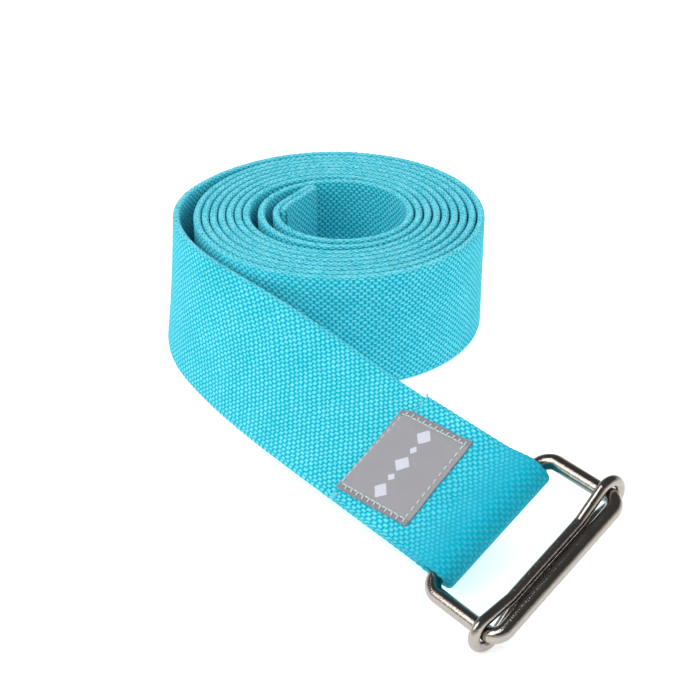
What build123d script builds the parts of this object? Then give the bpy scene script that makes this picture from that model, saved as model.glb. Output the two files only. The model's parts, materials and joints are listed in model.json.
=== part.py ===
"""Stretching strap: a cotton webbing strap rolled on its edge into a flat coil, with a sewn label and a
two-piece wire buckle on its outer end.

Frame: +X runs along the strap's outer end towards the buckle, +Z is up, and the floor is z = 0.
The origin is the bottom centre of the whole strap's bounding box.  Millimetres and degrees.
"""

from build123d import *
import math
import os

# ---- webbing ------------------------------------------------------------------------------------
STRAP_WIDTH = 38.0
STRAP_THICKNESS = 2.3

# ---- coil, seen from above: it winds counter-clockwise from the inner end out ------------------
# Distances are from the coil's axis to the middle of the webbing, measured on the line that runs from the
# side where the tail leaves (the left side) to the opposite side (the right side).
TURNS = 9
LEFT_INNER = 18.3        # innermost turn, left side
RIGHT_INNER = 24.3       # innermost turn, right side
LEFT_GAP = 0.29          # air between neighbouring turns on the left side
RIGHT_GAP = 0.51         # air between neighbouring turns on the right side
LOOSE_TURNS = 2          # the first turns inside lie more loosely on the left side
LOOSE_GAP = 2.18         # extra air for each of them
PEEL_GAP = 1.3           # extra air behind the outermost turn, which is springing off the coil

# ---- inner end: a straight flap with its end turned in and sewn --------------------------------
FLAP_BEND_RADIUS = 14.0
FLAP_BEND_ANGLE = 33.0
FLAP_STRAIGHT = 13.0
HEM_GAP = 0.02

# ---- tail: from the coil to the buckle, its lower edge is on the floor and its upper edge leans over --
PEEL_ANGLE = 61.5        # where on the outermost turn the tail begins, before the left side
PEEL_EASE = 10.275       # the first bend, up to the left side, is this much wider than the outermost turn
SWING_EASE = 23.975      # and the second bend, past the left side, this much
SWING_ANGLE = 26.7
DRIFT_LENGTH = 85.7      # third, gentle bend
DRIFT_ANGLE = 12.3
TWIST_LEAD = 5.0         # the webbing begins to lean over this much less than its width along the tail
END_ROLL = 28.8          # lean that is left at the buckle: 0 is flat on the floor, 90 on edge
TAIL_STATIONS = 25

# ---- outer end: the webbing goes round the buckle's rear bar and is sewn back on itself --------
FOLD_BACK = 45.0         # from the front of the fold to the cut end of the upper layer
LOOP_CLEARANCE = 0.35    # between the rear bar and the webbing
LOOP_LENGTH = 9.0        # from the bar's axis back to where the two layers meet

# ---- label -------------------------------------------------------------------------------------
LABEL_LENGTH = 26.5      # along the strap
LABEL_WIDTH = 28.4       # across the strap
LABEL_THICKNESS = 0.5
LABEL_FROM_FRONT = 21.3  # from the front of the fold to the label
LABEL_OFF_CENTRE = -0.9  # across the strap
LABEL_TURN = 5.0         # sewn on slightly askew

# ---- thread ------------------------------------------------------------------------------------
THREAD = 0.4
STITCH_LENGTH = 1.5
STITCH_PITCH = 2.2
STITCH_INSET = 1.6       # from an edge to its row of stitches
FACE_GAP = 0.01          # keeps sewn-on pieces just clear of the face that they lie on

# ---- buckle: a closed wire frame, and a wire slider whose two eyes run on the frame's rails ----
FRAME_WIRE = 4.2
SIDE_GAP = 1.4           # between each rail and the strap's edge
FRAME_LENGTH = 25.0      # along the strap, between the axes of the rear bar and the outer bar
REAR_CORNER = 4.2        # bend radii at the wire's axis
OUTER_CORNER = 3.5
SLIDER_WIRE = 2.9
SLIDER_CLEARANCE = 0.35  # between a rail and the eye round it
SLIDER_REST_GAP = 0.3    # between the slider and the outer bar
PINCH_GAP = 0.2          # between the slider's two strands in the middle
FLARE_ANGLE = 14.0       # slope of the strands from the middle up to the eyes
FLARE_BEND = 5.0

# ---- worked out --------------------------------------------------------------------------------
HALF = STRAP_THICKNESS / 2
BAR = FRAME_WIRE / 2
SLIDER_R = SLIDER_WIRE / 2
EYE_RADIUS = BAR + SLIDER_CLEARANCE + SLIDER_R
LOOP_RADIUS = BAR + LOOP_CLEARANCE
FOLD_FRONT = LOOP_RADIUS + STRAP_THICKNESS
FRAME_WIDTH = STRAP_WIDTH + FRAME_WIRE + 2 * SIDE_GAP  # between the axes of the two rails
TWIST_START = STRAP_WIDTH - TWIST_LEAD
ROLL = math.radians(END_ROLL)
# The buckle's lower eye stands on the floor, and the rest of it rises across the strap.
LOW_RAIL_Z = EYE_RADIUS + SLIDER_R
BAR_Z = LOW_RAIL_Z + FRAME_WIDTH / 2 * math.sin(ROLL)
SLIDER_X = FRAME_LENGTH - BAR - SLIDER_R - SLIDER_REST_GAP
# Height of the lower layer's lower edge, at mid thickness, where the tail meets the sewn end.
END_EDGE_Z = BAR_Z - STRAP_WIDTH / 2 * math.sin(ROLL) - HALF * math.cos(ROLL)


def polar(radius, degrees):
    return Vector(radius * math.cos(math.radians(degrees)), radius * math.sin(math.radians(degrees)))


def ease(t):
    """0 to 1 with a soft start and a soft end."""
    t = min(max(t, 0.0), 1.0)
    return t * t * (3 - 2 * t)


# ---- tail route, in the frame where the coil's axis is the origin and the left side is at 180 degrees --
def left_crossing(k):
    return LEFT_INNER + k * (STRAP_THICKNESS + LEFT_GAP) + min(k, LOOSE_TURNS) * LOOSE_GAP


def right_crossing(k):
    return RIGHT_INNER + k * (STRAP_THICKNESS + RIGHT_GAP)


LAST_RIGHT = right_crossing(TURNS - 1)
LAST_LEFT = left_crossing(TURNS) + PEEL_GAP
LAST_RADIUS = (LAST_RIGHT + LAST_LEFT) / 2
LAST_CENTRE = (LAST_RIGHT - LAST_LEFT) / 2
PEEL_LENGTH = (LAST_RADIUS + PEEL_EASE) * math.radians(PEEL_ANGLE)
SWING_LENGTH = (LAST_RADIUS + SWING_EASE) * math.radians(SWING_ANGLE)
TAIL_LENGTH = PEEL_LENGTH + SWING_LENGTH + DRIFT_LENGTH


def tail_route(s):
    """Place and heading (degrees) of the tail's lower edge at a distance s from where it leaves the coil."""
    place = Vector(LAST_CENTRE, 0) + polar(LAST_RADIUS, 180 - PEEL_ANGLE)
    heading = 270 - PEEL_ANGLE
    bends = [(PEEL_LENGTH, PEEL_ANGLE), (SWING_LENGTH, SWING_ANGLE), (DRIFT_LENGTH, DRIFT_ANGLE), (1e6, 0.0)]
    for length, turn in bends:
        run = min(s, length)
        if turn:
            radius = length / math.radians(turn)
            turned = turn * run / length
            place += polar(radius, heading + turned - 90) - polar(radius, heading - 90)
            heading += turned
        else:
            place += polar(run, heading)
        s -= run
        if s <= 0:
            break
    return place, heading


# The row frame: the strap's end runs along +X and the rear bar's middle is the origin for now.
END_PLACE, END_HEADING = tail_route(TAIL_LENGTH + FOLD_BACK)
ACROSS_END = STRAP_WIDTH / 2 * math.cos(ROLL) - HALF * math.sin(ROLL)


def to_row(point):
    """From the coil's frame to the frame of the buckle's rear bar, seen from above."""
    moved = (point - END_PLACE).rotate(Axis.Z, -END_HEADING)
    return Vector(moved.X + FOLD_FRONT, moved.Y - ACROSS_END, point.Z)


COIL_AXIS = to_row(Vector(0, 0, 0))
COIL_SPIN = -END_HEADING
BUCKLE = Plane(origin=(0, 0, BAR_Z), x_dir=(1, 0, 0), z_dir=(0, -math.sin(ROLL), math.cos(ROLL)))


# ---- coil --------------------------------------------------------------------------------------
def half_turn(left, right, upper, offset, stop=180.0):
    """Half a turn of the spiral at an offset from its middle line; the upper half may stop early."""
    radius = (left + right) / 2 + offset
    centre = Vector((right - left) / 2, 0)
    start, sweep = (0.0, stop) if upper else (180.0, 180.0)
    ends = [centre + polar(radius, start + sweep * part) for part in (0.0, 0.5, 1.0)]
    return ThreePointArc(*ends)


def spiral_edges(offset):
    edges = []
    for k in range(TURNS):
        edges.append(half_turn(left_crossing(k), right_crossing(k), False, offset))
        if k < TURNS - 1:
            edges.append(half_turn(left_crossing(k + 1), right_crossing(k), True, offset))
    edges.append(half_turn(LAST_LEFT, LAST_RIGHT, True, offset, 180 - PEEL_ANGLE))
    return edges


def flap_edges(offset):
    """The straight flap and its bend, from the inner end to the innermost turn's left side."""
    centre = Vector(FLAP_BEND_RADIUS - LEFT_INNER, 0)
    radius = FLAP_BEND_RADIUS + offset
    bend = [centre + polar(radius, 180 - FLAP_BEND_ANGLE * part) for part in (1.0, 0.5, 0.0)]
    inner_end = bend[0] + polar(FLAP_STRAIGHT, 90 - FLAP_BEND_ANGLE)
    return [Line(inner_end, bend[0]), ThreePointArc(*bend)]


def upright_strip(outer, inner):
    """Extrudes the strip between two chains of edges to the width of the strap."""
    first = Line(outer[0] @ 0, inner[0] @ 0)
    last = Line(outer[-1] @ 1, inner[-1] @ 1)
    face = make_face(outer + inner + [first, last])
    solid = extrude(face, amount=STRAP_WIDTH, dir=(0, 0, 1))
    return Pos(COIL_AXIS.X, COIL_AXIS.Y, 0) * Rot(0, 0, COIL_SPIN) * solid


webbing_coil = upright_strip(flap_edges(HALF) + spiral_edges(HALF), flap_edges(-HALF) + spiral_edges(-HALF))
webbing_hem = upright_strip(flap_edges(-HALF - HEM_GAP), flap_edges(-HALF - HEM_GAP - STRAP_THICKNESS))


# ---- tail --------------------------------------------------------------------------------------
def tail_section(s):
    """The webbing's cross-section at a distance s along the tail, as four corners."""
    place, heading = tail_route(s)
    lean = ease((s - TWIST_START) / (TAIL_LENGTH - TWIST_START))
    roll = math.radians(90 + (END_ROLL - 90) * lean)
    rise = ease((s - TAIL_LENGTH / 2) / (TAIL_LENGTH / 2))
    edge_z = HALF * math.cos(roll) * (1 - rise) + END_EDGE_Z * rise
    foot = to_row(place) + Vector(0, 0, edge_z)
    side = polar(1, heading - END_HEADING + 90)
    across = side * math.cos(roll) + Vector(0, 0, math.sin(roll))
    outward = Vector(0, 0, math.cos(roll)) - side * math.sin(roll)
    corners = []
    for far, out in ((0, -1), (1, -1), (1, 1), (0, 1)):
        corners.append(foot + across * (STRAP_WIDTH * far) + outward * (HALF * out))
    return make_face(Polyline(*corners, close=True))


stations = [TAIL_LENGTH * n / (TAIL_STATIONS - 1) for n in range(TAIL_STATIONS)]
webbing_tail = loft([tail_section(s) for s in stations])


# ---- sewn end: lower layer, loop round the rear bar, upper layer folded back -------------------
def loop_profile():
    """Side view: x along the strap from the bar's axis, y out of the strap's face."""
    slope = math.degrees(math.asin(LOOP_RADIUS / LOOP_LENGTH))
    outer_radius = LOOP_RADIUS + STRAP_THICKNESS
    knee = STRAP_THICKNESS * math.tan(math.radians(slope / 2))
    tail_end = FOLD_FRONT - FOLD_BACK
    top = polar(outer_radius, 90 + slope)
    low = Vector(top.X, -top.Y)
    knee_x = -LOOP_LENGTH - knee
    outside = [
        Line((tail_end, STRAP_THICKNESS), (knee_x, STRAP_THICKNESS)),
        Line((knee_x, STRAP_THICKNESS), top),
        ThreePointArc(top, (outer_radius, 0), low),
        Line(low, (knee_x, -STRAP_THICKNESS)),
        Line((knee_x, -STRAP_THICKNESS), (tail_end, -STRAP_THICKNESS)),
        Line((tail_end, -STRAP_THICKNESS), (tail_end, STRAP_THICKNESS)),
    ]
    inside_top = polar(LOOP_RADIUS, 90 + slope)
    inside_low = Vector(inside_top.X, -inside_top.Y)
    eye = [
        Line((-LOOP_LENGTH, 0), inside_top),
        ThreePointArc(inside_top, (LOOP_RADIUS, 0), inside_low),
        Line(inside_low, (-LOOP_LENGTH, 0)),
    ]
    return make_face(outside) - make_face(eye)


ACROSS_VIEW = Plane(BUCKLE.origin, x_dir=BUCKLE.x_dir, z_dir=-BUCKLE.y_dir)
webbing_loop = extrude(ACROSS_VIEW * loop_profile(), amount=STRAP_WIDTH / 2, both=True)

# ---- label and stitches ------------------------------------------------------------------------
LABEL_X = FOLD_FRONT - LABEL_FROM_FRONT - LABEL_LENGTH / 2
LABEL_Z = STRAP_THICKNESS + FACE_GAP
LABEL_BASE = BUCKLE * Pos(LABEL_X, LABEL_OFF_CENTRE, LABEL_Z) * Rot(0, 0, LABEL_TURN)
label = LABEL_BASE * Pos(0, 0, LABEL_THICKNESS / 2) * Box(LABEL_LENGTH, LABEL_WIDTH, LABEL_THICKNESS)


def stitch_row(plane, start, step, count, along_x):
    """A row of short lengths of thread lying on the face at the plane's z = 0."""
    size = (STITCH_LENGTH, THREAD, THREAD) if along_x else (THREAD, STITCH_LENGTH, THREAD)
    row = []
    for n in range(count):
        spot = Vector(start) + Vector(step) * n
        row.append(plane * Pos(spot.X, spot.Y, THREAD / 2 + FACE_GAP) * Box(*size))
    return row


def even_steps(length):
    count = int(length // STITCH_PITCH)
    return count, length / count


LABEL_TOP = LABEL_BASE * Pos(0, 0, LABEL_THICKNESS)
half_l = LABEL_LENGTH / 2 - STITCH_INSET
half_w = LABEL_WIDTH / 2 - STITCH_INSET
along_count, along_step = even_steps(2 * half_l)
across_count, across_step = even_steps(2 * half_w)
label_rows = []
for side in (-1, 1):
    first_along = (-half_l + along_step / 2, side * half_w)
    label_rows += stitch_row(LABEL_TOP, first_along, (along_step, 0), along_count, True)
    first_across = (side * half_l, -half_w + across_step / 2)
    label_rows += stitch_row(LABEL_TOP, first_across, (0, across_step), across_count, False)
label_stitches = Compound(children=label_rows)

# The upper layer's cut end is sewn down beside the label, out to both edges of the strap.
side_rows = []
end_x = FOLD_FRONT - FOLD_BACK + STITCH_INSET
UPPER_FACE = BUCKLE * Pos(0, 0, STRAP_THICKNESS)
skew = math.radians(LABEL_TURN)
label_middle = LABEL_OFF_CENTRE + (end_x - LABEL_X) * math.tan(skew)
for side in (-1, 1):
    label_edge = label_middle + side * LABEL_WIDTH / 2 / math.cos(skew)
    room = abs(side * STRAP_WIDTH / 2 - label_edge) - 2 * FACE_GAP
    count, step = even_steps(room)
    first = (end_x, label_edge + side * (step / 2 + FACE_GAP))
    side_rows += stitch_row(UPPER_FACE, first, (0, side * step), count, False)
fold_stitches = Compound(children=side_rows)

# The hem's row of stitches shows on the outer face of the flap.
hem_start = flap_edges(HALF)[0]
hem_middle = to_row(hem_start @ 0.5)
HEM_FACE = Plane(
    origin=(hem_middle.X, hem_middle.Y, 0),
    x_dir=(0, 0, 1),
    z_dir=tuple(polar(1, 180 - FLAP_BEND_ANGLE + COIL_SPIN)),
)
hem_count, hem_step = even_steps(STRAP_WIDTH - 2 * STITCH_INSET)
hem_rows = stitch_row(HEM_FACE, (STITCH_INSET + hem_step / 2, 0), (hem_step, 0), hem_count, True)
hem_stitches = Compound(children=hem_rows)


# ---- buckle frame ------------------------------------------------------------------------------
def closed_wire(path, diameter):
    """Round wire bent to a closed path."""
    start = path[0] @ 0
    section = Plane(origin=start, z_dir=path[0] % 0) * Circle(diameter / 2)
    return sweep(section, path=Wire(path))


def frame_path():
    """In the buckle's plane: x along the strap from the rear bar's axis, y across the strap."""
    w, length = FRAME_WIDTH / 2, FRAME_LENGTH
    rear, outer = REAR_CORNER, OUTER_CORNER

    def corner(x, y, radius, from_angle):
        points = [Vector(x, y) + polar(radius, from_angle + turn) for turn in (0, 45, 90)]
        return ThreePointArc(*points)

    return [
        Line((length / 2, -w), (length - outer, -w)),
        corner(length - outer, outer - w, outer, -90),
        Line((length, outer - w), (length, w - outer)),
        corner(length - outer, w - outer, outer, 0),
        Line((length - outer, w), (rear, w)),
        corner(rear, w - rear, rear, 90),
        Line((0, w - rear), (0, rear - w)),
        corner(rear, rear - w, rear, 180),
        Line((rear, -w), (length / 2, -w)),
    ]


buckle_frame = BUCKLE * closed_wire(frame_path(), FRAME_WIRE)


# ---- slider ------------------------------------------------------------------------------------
def slider_path():
    """Seen along the strap: x across the strap, y out of the buckle's plane."""
    eye_x = FRAME_WIDTH / 2
    pinch = SLIDER_R + PINCH_GAP / 2
    lift = polar(EYE_RADIUS, 90 + FLARE_ANGLE)
    joint = Vector(eye_x + lift.X, lift.Y)
    slope = math.radians(FLARE_ANGLE)
    foot_x = joint.X - (joint.Y - pinch) / math.tan(slope)
    tangent = FLARE_BEND * math.tan(slope / 2)
    bend_start = Vector(foot_x - tangent, pinch)
    bend_end = Vector(foot_x, pinch) + polar(tangent, FLARE_ANGLE)
    bend_mid = Vector(bend_start.X, pinch + FLARE_BEND) + polar(FLARE_BEND, -90 + FLARE_ANGLE / 2)

    def flip(v, x, y):
        return Vector(v.X * x, v.Y * y)

    def flare(x, y):
        edges = [
            Line(flip(Vector(0, pinch), x, y), flip(bend_start, x, y)),
            ThreePointArc(flip(bend_start, x, y), flip(bend_mid, x, y), flip(bend_end, x, y)),
            Line(flip(bend_end, x, y), flip(joint, x, y)),
        ]
        return edges

    def backwards(edges):
        turned = []
        for edge in reversed(edges):
            if edge.geom_type == GeomType.LINE:
                turned.append(Line(edge @ 1, edge @ 0))
            else:
                turned.append(ThreePointArc(edge @ 1, edge @ 0.5, edge @ 0))
        return turned

    def eye(x, y):
        return ThreePointArc(flip(joint, x, y), Vector(x * (eye_x + EYE_RADIUS), 0), flip(joint, x, -y))

    return (
        flare(1, 1) + [eye(1, 1)] + backwards(flare(1, -1))
        + flare(-1, -1) + [eye(-1, -1)] + backwards(flare(-1, 1))
    )


SLIDER_MIDDLE = BUCKLE.from_local_coords(Vector(SLIDER_X, 0, 0))
ALONG_VIEW = Plane(origin=SLIDER_MIDDLE, x_dir=BUCKLE.y_dir, z_dir=BUCKLE.x_dir)
slider = ALONG_VIEW * closed_wire(slider_path(), SLIDER_WIRE)

# ---- all nodes, moved so that the origin is the bottom centre of the whole ---------------------
nodes = {
    "webbing_coil": webbing_coil,
    "webbing_hem": webbing_hem,
    "webbing_tail": webbing_tail,
    "webbing_loop": webbing_loop,
    "label": label,
    "label_stitches": label_stitches,
    "fold_stitches": fold_stitches,
    "hem_stitches": hem_stitches,
    "buckle_frame": buckle_frame,
    "slider": slider,
}
whole = Compound(children=[Compound(n.solids()) for n in nodes.values()]).bounding_box()
shift = Vector(-(whole.min.X + whole.max.X) / 2, -(whole.min.Y + whole.max.Y) / 2, -whole.min.Z)

os.makedirs("parts", exist_ok=True)
for name, shape in nodes.items():
    solids = [solid.moved(Location(shift)) for solid in shape.solids()]
    export_step(solids[0] if len(solids) == 1 else Compound(solids), f"parts/{name}.step")

print("rear bar axis", shift.X, shift.Y, BAR_Z + shift.Z)
print("coil axis", COIL_AXIS + shift, "spin", COIL_SPIN)
print("box", whole.size)
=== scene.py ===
"""Looks of a rolled stretching strap: woven cotton webbing, a sewn cloth label, sewing thread and a
buckle of dark nickel-plated wire. Metres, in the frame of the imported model: +X runs along the sewn
end, and +Z is up."""

import json
import math
import random

import bpy
from mathutils import Matrix, Vector, noise


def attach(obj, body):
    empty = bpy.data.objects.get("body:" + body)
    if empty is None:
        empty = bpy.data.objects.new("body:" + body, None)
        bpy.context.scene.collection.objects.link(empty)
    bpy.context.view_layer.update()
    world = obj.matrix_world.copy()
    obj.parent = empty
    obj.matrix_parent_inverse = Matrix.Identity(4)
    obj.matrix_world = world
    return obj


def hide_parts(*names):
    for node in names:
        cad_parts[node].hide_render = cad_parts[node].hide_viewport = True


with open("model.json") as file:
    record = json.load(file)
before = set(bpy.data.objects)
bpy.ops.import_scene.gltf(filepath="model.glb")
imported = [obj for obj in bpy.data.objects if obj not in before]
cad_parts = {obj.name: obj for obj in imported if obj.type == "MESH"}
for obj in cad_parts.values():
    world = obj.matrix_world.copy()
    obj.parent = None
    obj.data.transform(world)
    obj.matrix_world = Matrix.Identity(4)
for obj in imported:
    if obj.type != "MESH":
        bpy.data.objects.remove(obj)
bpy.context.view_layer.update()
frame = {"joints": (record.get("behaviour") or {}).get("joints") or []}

bl_info = {
    "name": "Stretching strap",
    "version": (1, 0, 0),
    "blender": (4, 5, 0),
    "location": "View3D > Sidebar > Strap",
    "description": "Builds the webbing, label, stitches and buckle of a rolled stretching strap",
    "category": "Object",
}

MM = 0.001


# ---- settings ----------------------------------------------------------------------------------
def linear(sheet_colour):
    """Linear red, green and blue of an sRGB colour written as six hex digits."""
    parts = [int(sheet_colour[n:n + 2], 16) / 255 for n in (0, 2, 4)]
    return [c / 12.92 if c <= 0.04045 else ((c + 0.055) / 1.055) ** 2.4 for c in parts]


def length_of(name, millimetres, what):
    return bpy.props.FloatProperty(
        name=name, description=what, default=millimetres * MM, unit="LENGTH", precision=5
    )


def angle_of(name, degrees, what):
    return bpy.props.FloatProperty(
        name=name, description=what, default=math.radians(degrees), subtype="ANGLE", unit="ROTATION"
    )


def share_of(name, value, what):
    return bpy.props.FloatProperty(name=name, description=what, default=value)


def colour_of(name, hex_digits, what):
    return bpy.props.FloatVectorProperty(
        name=name, description=what, default=linear(hex_digits), subtype="COLOR", size=3, min=0, max=1
    )


class WebbingSettings(bpy.types.PropertyGroup):
    width: length_of("Width", 38.0, "Across the webbing")
    thickness: length_of("Thickness", 2.3, "Through the webbing")
    weave_along: length_of("Weave repeat along", 2.1, "One over and one under, along the webbing")
    weave_across: length_of("Weave repeat across", 2.0, "Two neighbouring yarns, across the webbing")
    relief: length_of("Relief", 0.26, "Height of a yarn's bump over the pits beside it")
    rim_bump: length_of("Rim bump", 0.11, "How far the weft's turns stand out along both edges")
    unevenness: length_of("Unevenness", 0.3, "How far the rolled edges wander up and down")
    # The light yarn colour is painted highlight on the bump tops, and the pit colour painted shade
    # between the bumps.
    light: colour_of("Light yarn", "66D4E1", "Tops of the bumps")
    body: colour_of("Yarn", "00BACE", "Sides of the bumps")
    pit: colour_of("Pit", "00A2BE", "Between the bumps")
    # Colour of the painted highlights on fibres of the bump tops.
    fibre_highlight: colour_of("Fibre", "D2F2F2", "Loose pale fibres on the tops")
    # Colour of the painted highlight along both rolled edges.
    edge: colour_of("Edge", "8CDDE8", "Where the rolled edges have rubbed pale")


class RollSettings(bpy.types.PropertyGroup):
    turns: bpy.props.IntProperty(name="Turns", description="Turns of the coil", default=9)
    left_inner: length_of("Inner left", 18.3, "Axis to the innermost turn, where the tail leaves")
    right_inner: length_of("Inner right", 24.3, "Axis to the innermost turn, opposite")
    left_gap: length_of("Left gap", 0.29, "Air between turns on the left side")
    right_gap: length_of("Right gap", 0.51, "Air between turns on the right side")
    loose_turns: bpy.props.IntProperty(name="Loose turns", description="Looser turns inside", default=2)
    loose_gap: length_of("Loose gap", 2.18, "Extra air for each loose turn")
    peel_gap: length_of("Peel gap", 1.3, "Extra air behind the outermost turn")
    flap_radius: length_of("Flap bend", 14.0, "Bend between the flap and the innermost turn")
    flap_angle: angle_of("Flap angle", 33.0, "Turn of that bend")
    flap_straight: length_of("Flap", 13.0, "Straight flap at the inner end")
    hem_gap: length_of("Hem gap", 0.02, "Between the flap and its turned-in hem")


class TailSettings(bpy.types.PropertyGroup):
    peel_angle: angle_of("Peel angle", 61.5, "Where the tail begins, before the left side")
    peel_radius: length_of("Peel radius", 57.3, "First bend of the tail")
    swing_radius: length_of("Swing radius", 71.0, "Second bend")
    swing_angle: angle_of("Swing angle", 26.7, "Turn of the second bend")
    drift_length: length_of("Drift length", 85.7, "Third, gentle bend")
    drift_angle: angle_of("Drift angle", 12.3, "Turn of the third bend")
    twist_start: length_of("Twist start", 33.0, "Where the webbing begins to lean over")
    fold_back: length_of("Fold back", 45.0, "Front of the fold to the cut end of the upper layer")
    loop_clearance: length_of("Loop clearance", 0.35, "Between the rear bar and the webbing")
    loop_length: length_of("Loop length", 9.0, "The bar's axis back to where the layers meet")
    knee_radius: length_of("Knee radius", 10.0, "Soft bend where the layers part")


class LabelSettings(bpy.types.PropertyGroup):
    length: length_of("Length", 26.5, "Along the strap")
    width: length_of("Width", 28.4, "Across the strap")
    thickness: length_of("Thickness", 0.5, "Through the cloth")
    from_front: length_of("From front", 21.3, "Front of the fold to the label")
    off_centre: length_of("Off centre", -0.9, "Across the strap")
    turn: angle_of("Turn", 5.0, "Sewn on slightly askew")
    turned_edge: length_of("Turned edge", 1.9, "Edge turned under along both long sides")
    cloth: colour_of("Cloth", "8C8B90", "Satin cloth")
    # Colour of the painted shade along the turned-under long edges.
    shade: colour_of("Turned edge", "747077", "Cloth over the turned edge")
    print_colour: colour_of("Print", "BEC0CC", "Printed ornament")


class ThreadSettings(bpy.types.PropertyGroup):
    thickness: length_of("Thickness", 0.42, "Sewing thread")
    stitch: length_of("Stitch", 1.6, "Length of one stitch")
    pitch: length_of("Pitch", 2.2, "From one stitch to the next")
    inset: length_of("Inset", 1.6, "From an edge to its row")
    colour: colour_of("Colour", "C2CDCC", "Thread of the label")
    dyed: colour_of("Dyed thread", "6CCBD8", "Thread of the hem and of the cut end")


class BuckleSettings(bpy.types.PropertyGroup):
    wire: length_of("Frame wire", 4.2, "Diameter of the frame's wire")
    width: length_of("Frame width", 45.0, "Between the axes of the two rails")
    length: length_of("Frame length", 25.0, "Between the axes of the rear and the outer bar")
    rear_corner: length_of("Rear corners", 4.2, "Bend radius at the wire's axis")
    outer_corner: length_of("Outer corners", 3.5, "Bend radius at the wire's axis")
    slider_wire: length_of("Slider wire", 2.9, "Diameter of the slider's wire")
    clearance: length_of("Eye clearance", 0.35, "Between a rail and the eye round it")
    rest_gap: length_of("Rest gap", 0.3, "Between the slider and the outer bar")
    pinch_gap: length_of("Pinch gap", 0.2, "Between the slider's two strands")
    flare_angle: angle_of("Flare", 14.0, "Slope of the strands towards the eyes")
    flare_bend: length_of("Flare bend", 5.0, "Bend radius where the strands part")
    metal: colour_of("Plating", "A09A93", "Dark nickel plating")
    worn: colour_of("Worn plating", "C9C3BA", "Where handling has brightened it")


class StageSettings(bpy.types.PropertyGroup):
    camera_place: bpy.props.FloatVectorProperty(
        name="Camera", description="Place of the camera", default=(0.28633, -0.25323, 0.24225),
        unit="LENGTH",
    )
    camera_turn: angle_of("Camera turn", 51.0, "Azimuth of the view")
    camera_tilt: angle_of("Camera tilt", 30.56, "How far the view looks down")
    lens: share_of("Lens", 77.14, "Focal length in millimetres")
    floor: colour_of("Floor", "FAFAFA", "Floor")
    glow: share_of("Floor glow", 0.42, "Light that comes up through the lit board")


# ---- places taken from the frame -------------------------------------------------------------------
HINGE = next(j for j in frame["joints"] if j["name"] == "buckle_hinge")
BAR = Vector(HINGE["pos_m"])
ALONG = Vector((1, 0, 0))
ACROSS = -Vector(HINGE["axis"]).normalized()
OUT = ALONG.cross(ACROSS)
ROLL = math.asin(ACROSS.z)
UP = Vector((0, 0, 1))


def polar(radius, angle):
    return Vector((radius * math.cos(angle), radius * math.sin(angle)))


def ease(t):
    t = min(max(t, 0.0), 1.0)
    return t * t * (3 - 2 * t)


class Chain:
    """Straight runs and round bends laid end to end in a plane."""

    def __init__(self, place, heading):
        self.place, self.heading = Vector(place), heading
        self.length = 0.0
        self.spans = []

    def go(self, length, turn=0.0):
        self.spans.append((self.length, length, turn, self.place.copy(), self.heading))
        self.length += length
        self.place, self.heading = self.at(self.length)

    def bend(self, radius, turn):
        self.go(radius * abs(turn), turn)

    def at(self, distance):
        start, length, turn, place, heading = self.spans[0]
        for span in self.spans:
            if span[0] > distance:
                break
            start, length, turn, place, heading = span
        run = distance - start
        if not turn:
            return place + polar(run, heading), heading
        radius, turned = length / turn, turn * run / length
        bent = polar(radius, heading + turned - math.pi / 2) - polar(radius, heading - math.pi / 2)
        return place + bent, heading + turned


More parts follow.
